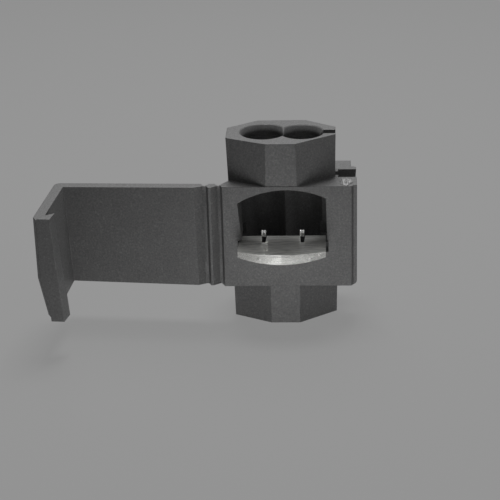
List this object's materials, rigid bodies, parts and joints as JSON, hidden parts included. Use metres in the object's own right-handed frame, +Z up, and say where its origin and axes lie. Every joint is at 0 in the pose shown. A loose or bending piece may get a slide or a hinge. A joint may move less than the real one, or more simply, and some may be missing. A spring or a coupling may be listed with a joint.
{
  "type": "quick wire connector",
  "caption": "Insulation displacement tap connector: slotted plastic block with a run and a tap wire channel, press-in slotted metal contact and a hinged snap-over cover.",
  "frame": {"origin": "on the run channel's axis at the bottom face, where the run wire passes through and holds the connector", "axes": "+X across the front towards the side slot, +Y from the front face to the back, +Z up along the wires"},
  "size_m": [0.0274, 0.0132, 0.0171],
  "materials": {
    "moulded_nylon": "fine matt texture",
    "tinned_brass": "bright tin plate"
  },
  "bodies": {
    "block": {"connector_body": "moulded_nylon"},
    "link": {"hinge_link": "moulded_nylon"},
    "lid": {"cover": "moulded_nylon"},
    "contact": {"contact_blade": "tinned_brass"}
  },
  "joints": [
    {"name": "link_hinge", "type": "hinge", "parent": "block", "child": "link", "pos_m": [-0.00731, -0.00278, 0.00374], "axis": [0, 0, 1], "range_deg": [0, 88]},
    {"name": "cover_hinge", "type": "hinge", "parent": "link", "child": "lid", "pos_m": [-0.00855, -0.00278, 0.00374], "axis": [0, 0, 1], "range_deg": [0, 96.6]},
    {"name": "contact_press", "type": "slide", "parent": "block", "child": "contact", "axis": [0, 1, 0], "range_m": [0, 0.00305]}
  ],
  "couplings": [
    {"joint": "link_hinge", "follows": "contact_press", "rad_per_m": 503.5},
    {"joint": "cover_hinge", "follows": "contact_press", "rad_per_m": 552.7}
  ]
}
